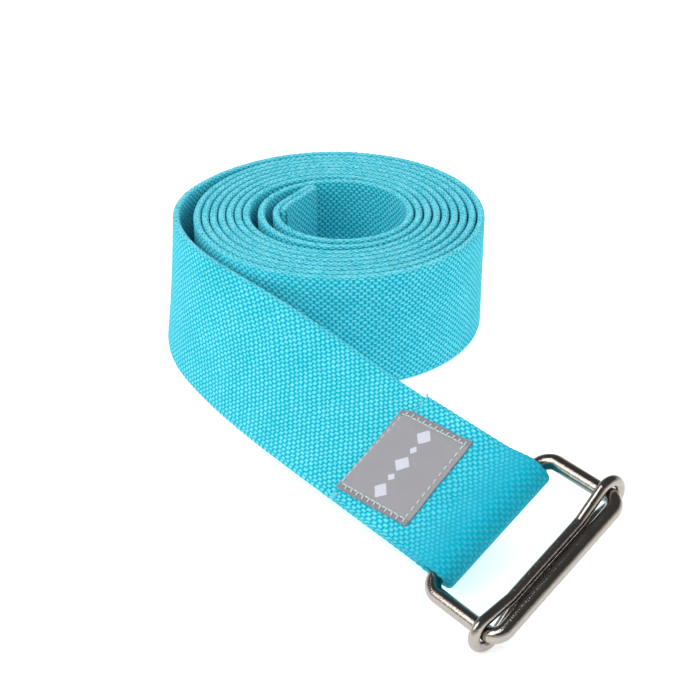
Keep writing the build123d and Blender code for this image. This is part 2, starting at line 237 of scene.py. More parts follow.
class WebbingRoute:
    """The whole length of the webbing, from the hem's cut end to the cut end under the label."""

    def __init__(self, web, roll, tail, buckle):
        self.web = web
        self.half = web.thickness / 2
        self.plan = self.lay_plan(roll, tail)
        self.tail_length = self.plan.length - self.tail_start
        self.side = self.lay_side(tail, buckle)
        self.twist_start = tail.twist_start
        self.length = self.plan.length + self.side.length
        self.set_in_frame()

    def lay_plan(self, roll, tail):
        """Seen from above, with the coil's axis at the origin and the tail leaving on the left side."""
        half_turn = math.pi
        thickness = self.web.thickness
        back = thickness + roll.hem_gap
        plan = Chain((roll.flap_radius - roll.left_inner - (roll.flap_radius - back), 0), math.pi / 2)
        plan.bend(roll.flap_radius - back, -roll.flap_angle)
        plan.go(roll.flap_straight)
        plan.bend(back / 2, half_turn)
        plan.go(roll.flap_straight)
        plan.bend(roll.flap_radius, roll.flap_angle)

        def left(k):
            loose = min(k, roll.loose_turns) * roll.loose_gap
            return roll.left_inner + k * (thickness + roll.left_gap) + loose

        def right(k):
            return roll.right_inner + k * (thickness + roll.right_gap)

        for k in range(roll.turns):
            plan.bend((left(k) + right(k)) / 2, half_turn)
            if k < roll.turns - 1:
                plan.bend((left(k + 1) + right(k)) / 2, half_turn)
        self.outer_turn_start = plan.length
        last_left = left(roll.turns) + roll.peel_gap
        plan.bend((last_left + right(roll.turns - 1)) / 2, half_turn - tail.peel_angle)
        self.tail_start = plan.length
        plan.bend(tail.peel_radius, tail.peel_angle)
        plan.bend(tail.swing_radius, tail.swing_angle)
        plan.go(tail.drift_length, tail.drift_angle)
        return plan

    def lay_side(self, tail, buckle):
        """The sewn end from its side: x along the strap from the bar's axis, y out of its face."""
        bore = buckle.wire / 2 + tail.loop_clearance
        middle = bore + self.half
        slope = math.asin(bore / tail.loop_length)
        knee = tail.knee_radius
        drop = middle * math.cos(slope) - self.half - knee * (1 - math.cos(slope))
        ramp = drop / math.sin(slope)
        knee_x = -(middle + knee) * math.sin(slope) - ramp * math.cos(slope)
        self.front = bore + self.web.thickness
        cut_x = self.front - tail.fold_back
        side = Chain((cut_x, -self.half), 0.0)
        side.go(knee_x - cut_x)
        side.bend(knee, -slope)
        side.go(ramp)
        side.bend(middle, math.pi + 2 * slope)
        side.go(ramp)
        side.bend(knee, -slope)
        side.go(knee_x - cut_x)
        self.cut_x = cut_x
        return side

    def set_in_frame(self):
        """Turns and shifts the plan so that its outer end meets the sewn end's lower layer."""
        self.spin = -self.plan.heading
        foot = BAR + ALONG * self.cut_x - OUT * self.half - ACROSS * (self.web.width / 2)
        turned = self.plan.place.copy()
        turned.rotate(Matrix.Rotation(self.spin, 2))
        self.shift = Vector((foot.x - turned.x, foot.y - turned.y))
        self.end_edge = foot.z

    def to_row(self, place):
        turned = place.copy()
        turned.rotate(Matrix.Rotation(self.spin, 2))
        return turned + self.shift

    def stretch_at(self, distance):
        """How far the webbing has turned over at the sewn end, which stretches its outer face."""
        if distance <= self.plan.length:
            return 0.0
        return self.side.at(distance - self.plan.length)[1]

    def frame_at(self, distance):
        """Lower edge at mid-thickness, the direction across, and the outward direction."""
        if distance > self.plan.length:
            (x, out), heading = self.side.at(distance - self.plan.length)
            face = heading + math.pi / 2
            foot = BAR + ALONG * x + OUT * out - ACROSS * (self.web.width / 2)
            return foot, ACROSS, ALONG * math.cos(face) + OUT * math.sin(face)
        place, heading = self.plan.at(distance)
        along_tail = distance - self.tail_start
        lean = ease((along_tail - self.twist_start) / (self.tail_length - self.twist_start))
        roll = math.pi / 2 + (ROLL - math.pi / 2) * lean
        rise = ease(2 * along_tail / self.tail_length - 1)
        edge = self.half * math.cos(roll) * (1 - rise) + self.end_edge * rise
        foot = self.to_row(place).to_3d() + UP * edge
        left = polar(1, heading + self.spin + math.pi / 2).to_3d()
        across = left * math.cos(roll) + UP * math.sin(roll)
        return foot, across, UP * math.cos(roll) - left * math.sin(roll)


def webbing_route(scene):
    return WebbingRoute(scene.strap_webbing, scene.strap_roll, scene.strap_tail, scene.strap_buckle)


# ---- materials -----------------------------------------------------------------------------------
SMOOTH = {"interpolation_type": "SMOOTHSTEP"}
LAYER = {"data_type": "RGBA"}
SHADE = {"data_type": "RGBA", "blend_type": "MULTIPLY"}
AMOUNT, UNDER, OVER = 0, 6, 7  # the inputs of a Mix node that lays one colour over another


def node_adder(tree):
    """The function that adds one node to this tree."""

    def add(kind, *values, **settings):
        """Adds a node with its settings; values fill or link its inputs in order, or by name."""
        made = tree.nodes.new("ShaderNode" + kind)
        for key, value in settings.items():
            setattr(made, key, value)
        named = values[0] if values and isinstance(values[0], dict) else dict(enumerate(values))
        for socket, source in named.items():
            if isinstance(source, bpy.types.NodeSocket):
                tree.links.new(source, made.inputs[socket])
            else:
                made.inputs[socket].default_value = source
        return next((out for out in made.outputs if out.enabled), made)

    return add


def new_material(name):
    material = bpy.data.materials.new(name)
    material.use_nodes = True
    material.node_tree.nodes.clear()
    return material, node_adder(material.node_tree)


def finish_material(add, **sockets):
    """The shader with its own numbers and links, and the output."""
    shader = add("BsdfPrincipled", {k.replace("_", " "): v for k, v in sockets.items()})
    add("OutputMaterial", {"Surface": shader})


def rgba(colour):
    return (*colour, 1.0)


def woven_cotton(web):
    """Cotton webbing, plain woven from coarse dyed yarn: plump matt bumps in staggered rows, deep pits
    between them with painted shade, and a fuzz of fibres with painted highlights on their tops."""
    material, add = new_material("woven_cotton_webbing")
    here = add("TexCoord").node.outputs["Object"]
    patches = add("TexNoise", {"Vector": here, "Scale": 1 / (9 * MM), "Detail": 3.0})
    grains = add("TexNoise", {"Vector": here, "Scale": 1 / (0.8 * MM), "Detail": 2.0})

    # The yarns stray a little from straight rows.
    stray = 1.2 * MM
    wander = add("TexNoise", {"Vector": here, "Scale": 1 / (4 * MM), "Detail": 3.0}).node
    drift = add("SeparateXYZ", wander.outputs["Color"]).node
    flat = add("SeparateXYZ", add("UVMap", uv_map="weave")).node
    along = add("Math", drift.outputs[0], stray, flat.outputs[0], operation="MULTIPLY_ADD")
    across = add("Math", drift.outputs[1], stray, flat.outputs[1], operation="MULTIPLY_ADD")

    # One over and one under along a yarn; neighbouring rows take turns, with a steep step between them.
    along_turn = add("Math", along, math.tau / web.weave_along, operation="MULTIPLY")
    across_turn = add("Math", across, math.tau / web.weave_across, operation="MULTIPLY")
    wave = add("Math", along_turn, operation="COSINE")
    rows = add("Math", across_turn, operation="COSINE")
    step = add("Math", rows, 5.0, operation="MULTIPLY")
    step = add("Math", step, -1.0, operation="MAXIMUM")
    step = add("Math", step, 1.0, operation="MINIMUM")
    staggered = add("Math", wave, step, operation="MULTIPLY")
    over = add("MapRange", staggered, -1.0, 0.15, **SMOOTH)
    rounded = add("Math", rows, operation="ABSOLUTE")
    crown = add("Math", rounded, 0.45, operation="POWER")
    bump = add("Math", over, crown, operation="MULTIPLY")

    # Fibres run along the yarn: 0.55 mm long and 0.16 mm wide.
    yarn_along = add("Math", along, 1 / (0.55 * MM), operation="MULTIPLY")
    yarn_across = add("Math", across, 1 / (0.16 * MM), operation="MULTIPLY")
    yarn_space = add("CombineXYZ", yarn_along, yarn_across)
    fibres = add("TexNoise", {"Vector": yarn_space, "Scale": 1.0, "Detail": 3.0})
    height = add("Math", fibres, 0.22, bump, operation="MULTIPLY_ADD")
    height = add("Math", grains, 0.6, height, operation="MULTIPLY_ADD")
    normal = add("Bump", {"Height": height, "Distance": web.relief, "Strength": 1.0})

    # Painted shade in the pits and painted highlight on the tops.
    out_of_pit = add("MapRange", bump, 0.05, 0.5, **SMOOTH)
    rough_bump = add("Math", grains, 1.3, bump, operation="MULTIPLY_ADD")
    tops = add("MapRange", rough_bump, 0.95, 1.75, **SMOOTH)
    tint = add("Mix", {AMOUNT: out_of_pit, UNDER: rgba(web.pit), OVER: rgba(web.body)}, **LAYER)
    tint = add("Mix", {AMOUNT: tops, UNDER: tint, OVER: rgba(web.light)}, **LAYER)

    # Painted highlights on fibres of the tops, more in some patches than in others.
    fibre_highlight_mask = add("MapRange", fibres, 0.58, 0.74, **SMOOTH)
    highlight_patch = add("MapRange", patches, 0.42, 0.66, **SMOOTH)
    speck = add("Math", fibre_highlight_mask, highlight_patch, operation="MULTIPLY")
    speck = add("Math", speck, out_of_pit, operation="MULTIPLY")
    tint = add("Mix", {AMOUNT: speck, UNDER: tint, OVER: rgba(web.fibre_highlight)}, **LAYER)

    # Painted highlight along the rims, and painted shade on the fold round the buckle's bar.
    rim = add("Attribute", attribute_name="rim").node.outputs["Fac"]
    on_rim = add("MapRange", rim, 0.2, 0.95, **SMOOTH)
    rim_highlight_grain = add("MapRange", grains, 0.35, 0.62, **SMOOTH)
    rim_highlight = add("Math", on_rim, rim_highlight_grain, operation="MULTIPLY")
    rim_highlight = add("Math", rim_highlight, 0.55, operation="MULTIPLY")
    tint = add("Mix", {AMOUNT: rim_highlight, UNDER: tint, OVER: rgba(web.edge)}, **LAYER)
    # The fold attribute masks the painted shade round the bar, darkening towards the pit colour.
    fold = add("Attribute", attribute_name="fold").node.outputs["Fac"]
    painted_bar_shade = add("Math", fold, 0.8, operation="MULTIPLY")
    tint = add("Mix", {AMOUNT: painted_bar_shade, UNDER: tint, OVER: rgba(web.pit)}, **LAYER)
    tone = add("MapRange", {"Value": patches, "To Min": 0.93, "To Max": 1.07})
    grey = add("CombineColor", tone, tone, tone)
    tint = add("Mix", {AMOUNT: 1.0, UNDER: tint, OVER: grey}, **SHADE)
    finish_material(
        add, Base_Color=tint, Roughness=0.9, Normal=normal, Specular_IOR_Level=0.1,
        Sheen_Weight=0.06, Sheen_Roughness=0.5,
    )
    return material


def satin_label(label):
    """Polyester satin label cloth with a screen-printed ornament: smooth grey with a fine warp grain."""
    material, add = new_material("satin_label_cloth")
    here = add("TexCoord").node.outputs["Object"]
    cloudy = add("TexNoise", {"Vector": here, "Scale": 1 / (5 * MM), "Detail": 2.0})
    flat = add("SeparateXYZ", add("UVMap", uv_map="weave")).node
    along, across = flat.outputs[0], flat.outputs[1]

    # The real grain is 0.1 mm; it is drawn three times as coarse so that it shows.
    grain_along = add("Math", along, 1 / (0.3 * MM), operation="MULTIPLY")
    grain_across = add("Math", across, 1 / (0.9 * MM), operation="MULTIPLY")
    grain_space = add("CombineXYZ", grain_along, grain_across)
    grain = add("TexNoise", {"Vector": grain_space, "Scale": 1.0, "Detail": 2.0})

    # Painted shade: the cloth is darker where its long edges are turned under.
    from_middle = add("Math", across, operation="ABSOLUTE")
    from_edge = add("Math", label.width / 2, from_middle, operation="SUBTRACT")
    inside = add("MapRange", from_edge, label.turned_edge - 0.3 * MM, label.turned_edge, **SMOOTH)
    turned = add("Math", 1.0, inside, operation="SUBTRACT")
    uneven = add("MapRange", grain, 0.3, 0.55, **SMOOTH)
    turned = add("Math", turned, uneven, operation="MULTIPLY")
    turned = add("Math", turned, 0.8, operation="MULTIPLY")
    tint = add("Mix", {AMOUNT: turned, UNDER: rgba(label.cloth), OVER: rgba(label.shade)}, **LAYER)

    # Ornament: a row of five plain diamonds across the label, every second one small.
    pitch, large, small, blur, rows_each_side = 4.6 * MM, 2.5 * MM, 1.2 * MM, 0.06 * MM, 2
    step = add("Math", across, pitch, operation="DIVIDE")
    nearest = add("Math", step, operation="ROUND")
    offset = add("Math", step, nearest, operation="SUBTRACT")
    offset = add("Math", offset, operation="ABSOLUTE")
    offset = add("Math", offset, pitch, operation="MULTIPLY")
    odd = add("Math", nearest, 2.0, operation="MODULO")
    odd = add("Math", odd, operation="ABSOLUTE")
    size = add("Math", odd, small - large, large, operation="MULTIPLY_ADD")
    reach = add("Math", along, operation="ABSOLUTE")
    reach = add("Math", reach, offset, operation="ADD")
    depth = add("Math", size, reach, operation="SUBTRACT")
    printed = add("MapRange", depth, -blur, blur, **SMOOTH)
    number = add("Math", nearest, operation="ABSOLUTE")
    in_row = add("Math", number, rows_each_side + 0.5, operation="LESS_THAN")
    ink = add("Math", printed, in_row, operation="MULTIPLY")
    tint = add("Mix", {AMOUNT: ink, UNDER: tint, OVER: rgba(label.print_colour)}, **LAYER)

    tone = add("MapRange", {"Value": cloudy, "To Min": 0.95, "To Max": 1.05})
    grained = add("MapRange", {"Value": grain, "To Min": 0.9, "To Max": 1.1})
    tone = add("Math", tone, grained, operation="MULTIPLY")
    grey = add("CombineColor", tone, tone, tone)
    tint = add("Mix", {AMOUNT: 1.0, UNDER: tint, OVER: grey}, **SHADE)
    normal = add("Bump", {"Height": grain, "Distance": 0.05 * MM, "Strength": 0.7})
    finish_material(
        add, Base_Color=tint, Roughness=0.5, Normal=normal, Specular_IOR_Level=0.4, Sheen_Weight=0.1,
    )
    return material


def sewing_thread(name, colour):
    """Twisted polyester sewing thread: slightly glossy plies that wind round each other."""
    material, add = new_material(name)
    here = add("TexCoord").node.outputs["Object"]
    plies = add("TexNoise", {"Vector": here, "Scale": 1 / (0.35 * MM), "Detail": 1.0})
    tone = add("MapRange", {"Value": plies, "To Min": 0.75, "To Max": 1.15})
    grey = add("CombineColor", tone, tone, tone)
    tint = add("Mix", {AMOUNT: 1.0, UNDER: rgba(colour), OVER: grey}, **SHADE)
    normal = add("Bump", {"Height": plies, "Distance": 0.12 * MM, "Strength": 0.8})
    finish_material(add, Base_Color=tint, Roughness=0.5, Normal=normal, Sheen_Weight=0.1)
    return material


def nickel_plating(buckle):
    """Steel wire drawn, bent and plated with dark nickel: mirror-like and smoky, with the fine pitting
    that the plating doesn't hide."""
    material, add = new_material("dark_nickel_plated_wire")
    here = add("TexCoord").node.outputs["Object"]
    pits = add("TexNoise", {"Vector": here, "Scale": 1 / (0.45 * MM), "Detail": 3.0})
    cloud = add("TexNoise", {"Vector": here, "Scale": 1 / (4 * MM), "Detail": 2.0})
    worn_pit = add("MapRange", pits, 0.55, 0.72, **SMOOTH)
    worn_patch = add("MapRange", cloud, 0.45, 0.62, **SMOOTH)
    worn = add("Math", worn_pit, worn_patch, operation="MULTIPLY")
    worn = add("Math", worn, 0.6, operation="MULTIPLY")
    tint = add("Mix", {AMOUNT: worn, UNDER: rgba(buckle.metal), OVER: rgba(buckle.worn)}, **LAYER)
    rough = add("MapRange", {"Value": cloud, "To Min": 0.08, "To Max": 0.2})
    normal = add("Bump", {"Height": pits, "Distance": 0.05 * MM, "Strength": 0.9})
    finish_material(add, Base_Color=tint, Metallic=1.0, Roughness=rough, Normal=normal)
    return material


def studio_floor(stage):
    """Matt white painted board, lit a little from below."""
    material, add = new_material("matt_white_board")
    here = add("TexCoord").node.outputs["Object"]
    cloud = add("TexNoise", {"Vector": here, "Scale": 6.0, "Detail": 2.0})
    tone = add("MapRange", {"Value": cloud, "To Min": 0.985, "To Max": 1.0})
    grey = add("CombineColor", tone, tone, tone)
    tint = add("Mix", {AMOUNT: 1.0, UNDER: rgba(stage.floor), OVER: grey}, **SHADE)
    finish_material(
        add, Base_Color=tint, Roughness=0.7, Specular_IOR_Level=0.2,
        Emission_Color=(1, 1, 1, 1), Emission_Strength=stage.glow,
    )
    return material


# ---- meshes --------------------------------------------------------------------------------------
def new_piece(name, points, faces, material, weave=None):
    """A mesh object at the origin; weave gives each face corner its place on the flat cloth."""
    mesh = bpy.data.meshes.new(name)
    mesh.from_pydata(points, [], faces)
    if weave:
        layer = mesh.uv_layers.new(name="weave")
        layer.data.foreach_set("uv", [number for corner in weave for number in corner])
    mesh.materials.append(material)
    piece = bpy.data.objects.new(name, mesh)
    bpy.context.scene.collection.objects.link(piece)
    mesh.shade_smooth()
    return piece


def only(piece):
    """Selects one piece and nothing else."""
    bpy.ops.object.select_all(action="DESELECT")
    piece.select_set(True)
    bpy.context.view_layer.objects.active = piece


def belongs(piece, body, slot, *nodes):
    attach(piece, body)
    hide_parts(*nodes)


RIM_YARNS = 1.7  # the weft turns back round the rims, so that their rows lie closer together
RIM_REACH = 0.85  # how far a rim reaches in across, as a share of half the thickness
RIM_FACETS = 6


def webbing_ring(web, rows):
    """The cross-section of the webbing as (across, out, how far towards a rim, distance round)."""
    half = web.thickness / 2
    rim = RIM_REACH * half
    flat = web.width - 2 * rim
    outer = [(rim + flat * n / (rows - 1), half, 0.0) for n in range(rows)]
    arc = [math.radians(90 - 180 * n / RIM_FACETS) for n in range(1, RIM_FACETS)]
    upper = [(rim + flat + rim * math.cos(a), half * math.sin(a), math.cos(a)) for a in arc]
    inner = [(across, -out, 0.0) for across, out, _ in reversed(outer)]
    lower = [(web.width - across, -out, -side) for across, out, side in upper]
    loop = outer + upper + inner + lower
    ring, walked = [], 0.0
    for here, after in zip(loop, loop[1:] + loop[:1]):
        ring.append((*here, walked))
        on_rim = here[2] > 0 or after[2] > 0
        walked += math.hypot(after[0] - here[0], after[1] - here[1]) * (RIM_YARNS if on_rim else 1)
    return ring, walked


class STRAP_OT_webbing(bpy.types.Operator):
    """Builds the whole webbing as one strip, from the hem's cut end to the one under the label"""

    bl_idname = "strap.webbing"
    bl_label = "Webbing"

    rows = 11
    squeeze_length = 3.0 * MM
    squeeze = 0.42
    # How far behind the bar the painted shade on the fold fades out.
    painted_bar_shade = 24 * MM
    fray = 0.35 * MM
    frayed_length = 0.2 * MM
    wander_length = 40 * MM
    swelling = 0.04
    swelling_size = 4 * MM
    rim_step = 0.06

    def execute(self, context):
        scene = context.scene
        web = scene.strap_webbing
        route = webbing_route(scene)
        ring, around = webbing_ring(web, self.rows)
        count = len(ring)
        steps = round(route.length / (web.weave_along / 2))
        chance = random.Random(5)
        points = []
        for n in range(steps + 1):
            distance = route.length * n / steps
            points += self.ring_points(web, route, ring, distance, n, chance)
        faces, weave = [], []
        marks = [spot[3] for spot in ring] + [around]
        places = [route.length * n / steps for n in range(steps + 1)]
        turned = [route.stretch_at(place) for place in places]
        for n in range(steps):
            first, second = n * count, (n + 1) * count
            for k in range(count):
                after = (k + 1) % count
                faces.append((first + k, first + after, second + after, second + k))
                corners = ((n, k, k), (n, after, k + 1), (n + 1, after, k + 1), (n + 1, k, k))
                for m, spot, mark in corners:
                    weave.append((places[m] - turned[m] * ring[spot][1], marks[mark]))
        for base, order in ((0, reversed(range(count))), (steps * count, range(count))):
            end = list(order)
            faces.append(tuple(base + k for k in end))
            weave += [(ring[k][1], ring[k][0]) for k in end]
        piece = new_piece("webbing", points, faces, woven_cotton(web), weave)
        rim = piece.data.attributes.new("rim", "FLOAT", "POINT")
        rim.data.foreach_set("value", [spot[2] for spot in ring] * (steps + 1))
        # Mask of the painted shade round the bar: full at and ahead of it, gone the above length behind.
        fold = piece.data.attributes.new("fold", "FLOAT", "POINT")
        grip = [ease(((p - BAR).dot(ALONG) + self.painted_bar_shade) / self.painted_bar_shade) for p in points]
        fold.data.foreach_set("value", grip)
        only(piece)
        bpy.ops.object.mode_set(mode="EDIT")
        bpy.ops.mesh.select_all(action="SELECT")
        bpy.ops.mesh.normals_make_consistent(inside=False)
        bpy.ops.object.mode_set(mode="OBJECT")
        belongs(piece, "strap", "webbing", "webbing_coil", "webbing_hem", "webbing_tail", "webbing_loop")
        return {"FINISHED"}

    def ring_points(self, web, route, ring, distance, n, chance):
        foot, across, out = route.frame_at(distance)
        from_end = route.length - distance
        squash = self.squeeze * ease(1 - from_end / self.squeeze_length)
        swap = 1 if n % 2 else -1
        wander = web.unevenness * (1 + noise.noise(Vector((distance / self.wander_length, 0.5, 0.5))))
        on_edge = max(0.0, 1 - max(0.0, distance - route.tail_start) / (0.5 * route.tail_length))
        foot = foot + UP * (wander * on_edge * 0.5)
        ends = min(from_end, distance)
        along = out.cross(across)
        made = []
        for y, depth, side, _ in ring:
            bulge = web.rim_bump * side * swap
            swell = 1 + self.swelling * noise.noise(Vector((distance, y, depth)) / self.swelling_size)
            if depth < 0:
                depth *= 1 - squash
            turn_back = 1 - self.rim_step * swap * abs(side)
            place = foot + across * (y + bulge) + out * (depth * swell * turn_back)
            if ends < self.frayed_length:
                place += along * chance.uniform(-self.fray, self.fray)
            made.append(place)
        return made


class STRAP_OT_label(bpy.types.Operator):
    """Builds the label: a thin cloth rectangle that is drawn down along its rows of stitches"""

    bl_idname = "strap.label"
    bl_label = "Label"

    cell = 0.5 * MM
    under = 0.02 * MM
    pressed = 0.55
    ripple = 0.3 * MM
    ripple_size = 4 * MM

    def execute(self, context):
        scene = context.scene
        label, thread = scene.strap_label, scene.strap_thread
        middle, along, across = label_place(scene)
        cut_x = webbing_route(scene).cut_x
        columns = round(label.length / self.cell)
        rows = round(label.width / self.cell)
        points, flat = [], []
        for layer in (0, 1):
            for i in range(columns + 1):
                for j in range(rows + 1):
                    x = label.length * (i / columns - 0.5)
                    y = label.width * (j / rows - 0.5)
                    lift = self.lift(x, y, label, thread)
                    height = self.under + layer * label.thickness * self.pressed + lift * label.thickness
                    wave = self.ripple * noise.noise(Vector((x, y, 0)) / self.ripple_size)
                    sideways = self.ripple * noise.noise(Vector((y, x, 1)) / self.ripple_size)
                    place = middle + along * (x + sideways) + across * (y + wave)
                    height -= step_down(scene, (place - BAR).dot(ALONG) - cut_x)
                    points.append(place + OUT * height)
                    flat.append((x, y))
        faces, stride, sheet = [], rows + 1, (columns + 1) * (rows + 1)
        for i in range(columns):
            for j in range(rows):
                a = i * stride + j
                b = a + stride
                faces.append((a, a + 1, b + 1, b))
                faces.append((a + sheet, b + sheet, b + 1 + sheet, a + 1 + sheet))
        rim = [i * stride for i in range(columns)] + [columns * stride + j for j in range(rows)]
        rim += [i * stride + rows for i in range(columns, 0, -1)] + list(range(rows, 0, -1))
        for a, b in zip(rim, rim[1:] + rim[:1]):
            faces.append((a, b, b + sheet, a + sheet))
        weave = [flat[k] for face in faces for k in face]
        piece = new_piece("label_cloth", points, faces, satin_label(label), weave)
        belongs(piece, "strap", "label", "label")
        return {"FINISHED"}

    def lift(self, x, y, label, thread):
        """Low along the rows of stitches, plump inside, a little raised at the rim."""
        inside = min(label.length / 2 - abs(x), label.width / 2 - abs(y))
        row = math.exp(-(((inside - thread.inset) / (0.5 * MM)) ** 2))
        dents = 0.5 + 0.5 * math.cos(math.tau * (x + y) / thread.pitch)
        plump = 0.35 * ease(inside / (4 * MM))
        curl = 0.15 * math.exp(-inside / (0.5 * MM))
        return 0.12 + plump + curl - 0.3 * row * (0.6 + 0.4 * dents) + 0.3 * row * 0.4


def label_place(scene):
    """Middle of the label's underside, and its directions along and across."""
    label, web = scene.strap_label, scene.strap_webbing
    x = webbing_route(scene).front - label.from_front - label.length / 2
    middle = BAR + ALONG * x + ACROSS * label.off_centre + OUT * web.thickness
    turn = Matrix.Rotation(label.turn, 3, OUT)
    return middle, turn @ ALONG, turn @ ACROSS


SAG_SHARE, SAG_LENGTH = 0.8, 3 * MM


def step_down(scene, past_cut):
    """How far a piece sinks where it hangs over the upper layer's cut end."""
    return SAG_SHARE * scene.strap_webbing.thickness * ease(-past_cut / SAG_LENGTH)


def one_stitch(thickness, stitch_length):
    """One stitch along X: a short thread whose ends dive into the cloth, as points and faces."""
    sides, rings = 7, 6
    points, faces = [], []
    for n in range(rings + 1):
        t = 2 * n / rings - 1
        radius = thickness / 2 * math.sqrt(max(0.12, 1 - abs(t) ** 5))
        for k in range(sides):
            angle = math.tau * k / sides
            sag = -0.75 * thickness * abs(t) ** 3
            points.append(Vector((
                t * stitch_length / 2, radius * math.cos(angle), radius * math.sin(angle) + sag,
            )))
    for n in range(rings):
        for k in range(sides):
            a, b = n * sides + k, n * sides + (k + 1) % sides
            faces.append((a, b, b + sides, a + sides))
    faces.append(tuple(reversed(range(sides))))
    faces.append(tuple(range(rings * sides, (rings + 1) * sides)))
    return points, faces


def sew(name, thickness, stitches, material, *nodes):
    """Copies the stitch to each (place, direction, up, length) and joins the copies as one piece."""
    points, faces = [], []
    for place, direction, up, stitch_length in stitches:
        shape, sides = one_stitch(thickness, stitch_length)
        across = up.cross(direction)
        base = len(points)
        points += [place + direction * p.x + across * p.y + up * p.z for p in shape]
        faces += [tuple(base + k for k in face) for face in sides]
    piece = new_piece(name, points, faces, material)
    belongs(piece, "strap", "thread", *nodes)
    return piece


def row_of(start, end, up, thread, chance):
    """Stitches spaced evenly from start to end, none quite the same."""
    span = end - start
    count = max(1, round(span.length / thread.pitch))
    direction = span.normalized()
    stitches = []
    for n in range(count):
        place = start + span * ((n + 0.5) / count)
        turn = Matrix.Rotation(chance.uniform(-0.09, 0.09), 3, up)
        reach = thread.stitch * chance.uniform(0.9, 1.08)
        stitches.append((place + up * chance.uniform(-0.03, 0.05) * MM, turn @ direction, up, reach))
    return stitches


class STRAP_OT_stitches(bpy.types.Operator):
    """Sews the label, the cut end beside it and the hem at the inner end"""

    bl_idname = "strap.stitches"
    bl_label = "Stitches"

    tick = 1.5 * MM
    fray = 0.24 * MM
    loose_count = 7
    label_top = 0.95
    raised = 0.1
    from_cut = 0.9 * MM
    pulled_in = 0.86

    def execute(self, context):
        scene = context.scene
        label, thread, web = scene.strap_label, scene.strap_thread, scene.strap_webbing
        material = sewing_thread("twisted_sewing_thread", thread.colour)
        dyed = sewing_thread("dyed_sewing_thread", thread.dyed)
        chance = random.Random(11)
        middle, forward, sideways = label_place(scene)
        route = webbing_route(scene)
        top = middle + OUT * (label.thickness * self.label_top + thread.thickness * self.raised)
        x, y = label.length / 2 - thread.inset, label.width / 2 - thread.inset
        corner = {(a, b): top + forward * (a * x) + sideways * (b * y) for a in (-1, 1) for b in (-1, 1)}
        stitches = []
        for side in (-1, 1):
            stitches += row_of(corner[side, -1], corner[side, 1], OUT, thread, chance)
            along = row_of(corner[-1, side], corner[1, side], OUT, thread, chance)
            stitches += along
            for place, direction, up, _ in along:
                foot = place + direction * (thread.pitch / 2) + sideways * (side * self.tick * 0.3)
                lean = (sideways + forward * chance.uniform(-0.2, 0.2)).normalized()
                stitches.append((foot, lean, up, self.tick))
        sunk = []
        for place, direction, up, reach in stitches:
            drop = step_down(scene, (place - BAR).dot(ALONG) - route.cut_x)
            sunk.append((place - up * drop, direction, up, reach))
        sew("label_thread", thread.thickness, sunk, material, "label_stitches")

        cut = BAR + ALONG * (route.cut_x + self.from_cut) + OUT * (web.thickness * self.pulled_in)
        beside = []
        for side in (-1, 1):
            start = cut + ACROSS * (label.off_centre - 0.8 * MM + side * label.width / 2)
            end = cut + ACROSS * (side * (web.width / 2 - 0.4 * MM))
            beside += row_of(start, end, OUT, thread, chance)
        sew("fold_thread", thread.thickness, beside, dyed, "fold_stitches")
        sew("frayed_yarns", self.fray, self.loose_ends(web, route, chance), dyed)

        flap_start, flap_length = route.plan.spans[3][:2]
        foot, across, out = route.frame_at(flap_start + flap_length / 2)
        face = foot + out * (web.thickness / 2 + thread.thickness * self.raised)
        ends = (face + across * thread.inset, face + across * (web.width - thread.inset))
        hem = row_of(*ends, out, thread, chance)
        sew("hem_thread", thread.thickness, hem, dyed, "hem_stitches")
        return {"FINISHED"}

    def loose_ends(self, web, route, chance):
        """Yarns that have come loose at both corners of the upper layer's cut end."""
        loose = []
        for side in (-1, 1):
            corner = BAR + ALONG * route.cut_x + ACROSS * (side * web.width / 2)
            for _ in range(self.loose_count):
                place = corner + OUT * chance.uniform(0.3, 1) * web.thickness
                place -= ACROSS * (side * chance.random() * MM)
                stray = Vector([chance.uniform(-0.5, 0.5) for _ in range(3)])
                direction = (ACROSS * side * chance.uniform(0.1, 0.9) - ALONG + stray).normalized()
                up = direction.orthogonal().normalized()
                loose.append((place, direction, up, chance.uniform(1.5, 3.0) * MM))
        return loose


# ---- buckle --------------------------------------------------------------------------------------
WIRE_SIDES = 32
BEND_STEP = math.radians(9)


def bent_wire(name, diameter, moves, placed, material):
    """Bends round wire: each move is (length, 0) for a straight run or (radius, turn) for a bend."""
    bpy.ops.object.select_all(action="DESELECT")
    bpy.ops.mesh.primitive_circle_add(
        vertices=WIRE_SIDES, radius=diameter / 2, fill_type="NOTHING", rotation=(0, math.pi / 2, 0)
    )
    piece = bpy.context.active_object
    piece.name = piece.data.name = name
    bpy.ops.object.transform_apply(location=True, rotation=True, scale=True)
    bpy.ops.object.mode_set(mode="EDIT")
    bpy.ops.mesh.select_all(action="SELECT")
    place, heading = Vector((0, 0)), 0.0
    for size, turn in moves:
        if turn:
            side = math.copysign(1, turn)
            centre = place + polar(size, heading + side * math.pi / 2)
            steps = max(3, round(abs(turn) / BEND_STEP))
            # The spin operator counts its angle the other way round.
            bpy.ops.mesh.spin(steps=steps, angle=-turn, center=(*centre, 0), axis=(0, 0, 1))
            place = centre + polar(size, heading + turn - side * math.pi / 2)
            heading += turn
        else:
            step = polar(size, heading)
            bpy.ops.mesh.extrude_region_move(TRANSFORM_OT_translate={"value": (*step, 0)})
            place += step
    bpy.ops.mesh.select_all(action="SELECT")
    bpy.ops.mesh.remove_doubles(threshold=0.005 * MM)
    bpy.ops.mesh.normals_make_consistent(inside=False)
    bpy.ops.object.mode_set(mode="OBJECT")
    piece.data.transform(placed)
    piece.data.shade_smooth()
    piece.data.materials.append(material)
    return piece


def placed_at(origin, x_axis, y_axis):
    """The matrix that lays a flat outline at the origin with these two directions."""
    turned = Matrix((x_axis, y_axis, x_axis.cross(y_axis))).transposed()
    return Matrix.Translation(origin) @ turned.to_4x4()


